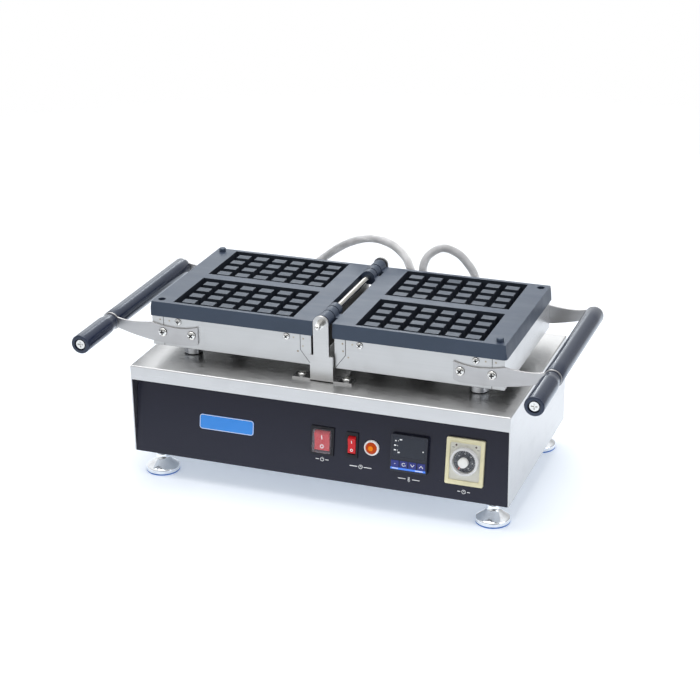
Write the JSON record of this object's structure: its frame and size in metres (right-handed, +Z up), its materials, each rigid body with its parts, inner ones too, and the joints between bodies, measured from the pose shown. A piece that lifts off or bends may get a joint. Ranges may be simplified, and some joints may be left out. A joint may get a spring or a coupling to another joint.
{
  "type": "waffle iron",
  "caption": "Counter-top double waffle iron: two hinged square-grid irons lie open on a flat stainless base with leaning control panel, side handles and levelling feet.",
  "frame": {"origin": "middle of the footprint without the conduits, on the surface that the feet stand on", "axes": "+X to the operator's right along the base's width, +Y away from the operator, +Z up; the operator and the control panel are at -Y"},
  "size_m": [0.618, 0.3588, 0.2659],
  "materials": {
    "brushed_steel": "satin stainless steel, fine grain along the sheet",
    "panel_coat": "smooth dark blue-black coating",
    "polished_steel": "polished stainless fasteners",
    "chrome_foot": "bright chrome",
    "blue_rubber": "matte",
    "nickel_brass": "nickel-plated, slightly dull",
    "steel_braid": "woven stainless wire",
    "baking_iron": "satin blue-grey coating with a fine sand grain",
    "heater": "heat-tinted tube and clamp plate",
    "handle_black": "glossy, softly worn",
    "black_plastic": "fine moulded grain",
    "red_plastic": "glossy, translucent",
    "clear_cover": "clear soft cover",
    "white_plastic": "glossy",
    "amber_lens": "clear amber",
    "dark_window": "smooth and dark",
    "blue_key": "smooth film keys",
    "cream_plastic": "eggshell",
    "clear_knob": "clear, frosted rim",
    "blue_enamel": "gloss enamel"
  },
  "bodies": {
    "base": {"base_shell": "brushed_steel", "control_panel": "panel_coat", "rear_panel": "brushed_steel", "bottom_plate": "brushed_steel", "cover_screws": "polished_steel", "hinge_bracket_front": "brushed_steel", "hinge_bracket_rear": "brushed_steel", "bracket_screws": "polished_steel", "hinge_rod": "polished_steel", "hinge_nuts": "polished_steel", "iron_rests": "polished_steel", "cable_glands": "nickel_brass", "left_conduit": "steel_braid", "right_conduit": "steel_braid", "power_switch": "black_plastic", "power_boot": "clear_cover", "alarm_switch": "black_plastic", "lamp_bezel": "white_plastic", "lamp_lens": "amber_lens", "controller_case": "black_plastic", "controller_window": "dark_window", "timer_case": "cream_plastic", "timer_dial": "dark_window", "nameplate": "blue_enamel", "terminal_block": "white_plastic", "contactor": "black_plastic", "foot_lock_nuts": "polished_steel"},
    "left_iron": {"left_plate": "baking_iron", "left_tray": "brushed_steel", "left_element": "heater", "left_screws": "polished_steel", "left_arms": "brushed_steel", "left_handle_bolt": "polished_steel", "left_sleeve": "handle_black", "left_grip": "handle_black", "left_gland": "nickel_brass"},
    "right_iron": {"right_plate": "baking_iron", "right_tray": "brushed_steel", "right_element": "heater", "right_screws": "polished_steel", "right_arms": "brushed_steel", "right_handle_bolt": "polished_steel", "right_sleeve": "handle_black", "right_grip": "handle_black", "right_gland": "nickel_brass"},
    "power_rocker": {"power_rocker": "red_plastic"},
    "alarm_rocker": {"alarm_rocker": "red_plastic"},
    "set_key": {"set_key": "blue_key"},
    "shift_key": {"shift_key": "blue_key"},
    "down_key": {"down_key": "blue_key"},
    "up_key": {"up_key": "blue_key"},
    "timer_knob": {"timer_knob": "clear_knob"},
    "foot_fl": {"foot_fl": "chrome_foot", "foot_pad_fl": "blue_rubber"},
    "foot_fr": {"foot_fr": "chrome_foot", "foot_pad_fr": "blue_rubber"},
    "foot_rl": {"foot_rl": "chrome_foot", "foot_pad_rl": "blue_rubber"},
    "foot_rr": {"foot_rr": "chrome_foot", "foot_pad_rr": "blue_rubber"}
  },
  "joints": [
    {"name": "left_iron_hinge", "type": "hinge", "parent": "base", "child": "left_iron", "pos_m": [0, 0.021, 0.2351], "axis": [0, 1, 0], "range_deg": [0, 180], "deforming": ["left_conduit"]},
    {"name": "right_iron_hinge", "type": "hinge", "parent": "base", "child": "right_iron", "pos_m": [0, 0.021, 0.2351], "axis": [0, -1, 0], "range_deg": [0, 180], "deforming": ["right_conduit"]},
    {"name": "power_rocker_tip", "type": "hinge", "parent": "base", "child": "power_rocker", "pos_m": [0.008, -0.11071, 0.08482], "axis": [-1, 0, 0], "range_deg": [0, 16]},
    {"name": "alarm_rocker_tip", "type": "hinge", "parent": "base", "child": "alarm_rocker", "pos_m": [0.048, -0.11071, 0.08482], "axis": [-1, 0, 0], "range_deg": [0, 16]},
    {"name": "set_key_press", "type": "slide", "parent": "base", "child": "set_key", "axis": [0, 0.9866, -0.1633], "range_m": [0, 0.0005], "stiffness_N_per_m": 400, "springref_m": -0.002},
    {"name": "shift_key_press", "type": "slide", "parent": "base", "child": "shift_key", "axis": [0, 0.9866, -0.1633], "range_m": [0, 0.0005], "stiffness_N_per_m": 400, "springref_m": -0.002},
    {"name": "down_key_press", "type": "slide", "parent": "base", "child": "down_key", "axis": [0, 0.9866, -0.1633], "range_m": [0, 0.0005], "stiffness_N_per_m": 400, "springref_m": -0.002},
    {"name": "up_key_press", "type": "slide", "parent": "base", "child": "up_key", "axis": [0, 0.9866, -0.1633], "range_m": [0, 0.0005], "stiffness_N_per_m": 400, "springref_m": -0.002},
    {"name": "timer_knob_turn", "type": "hinge", "parent": "base", "child": "timer_knob", "pos_m": [0.1965, -0.11939, 0.08748], "axis": [0, 0.9866, -0.1633], "range_deg": [0, 300]},
    {"name": "foot_fl_turn", "type": "hinge", "parent": "base", "child": "foot_fl", "pos_m": [-0.228, -0.097, 0.02], "axis": [0, 0, 1], "continuous": true},
    {"name": "foot_fr_turn", "type": "hinge", "parent": "base", "child": "foot_fr", "pos_m": [0.228, -0.097, 0.02], "axis": [0, 0, 1], "continuous": true},
    {"name": "foot_rl_turn", "type": "hinge", "parent": "base", "child": "foot_rl", "pos_m": [-0.228, 0.129, 0.02], "axis": [0, 0, 1], "continuous": true},
    {"name": "foot_rr_turn", "type": "hinge", "parent": "base", "child": "foot_rr", "pos_m": [0.228, 0.129, 0.02], "axis": [0, 0, 1], "continuous": true}
  ]
}
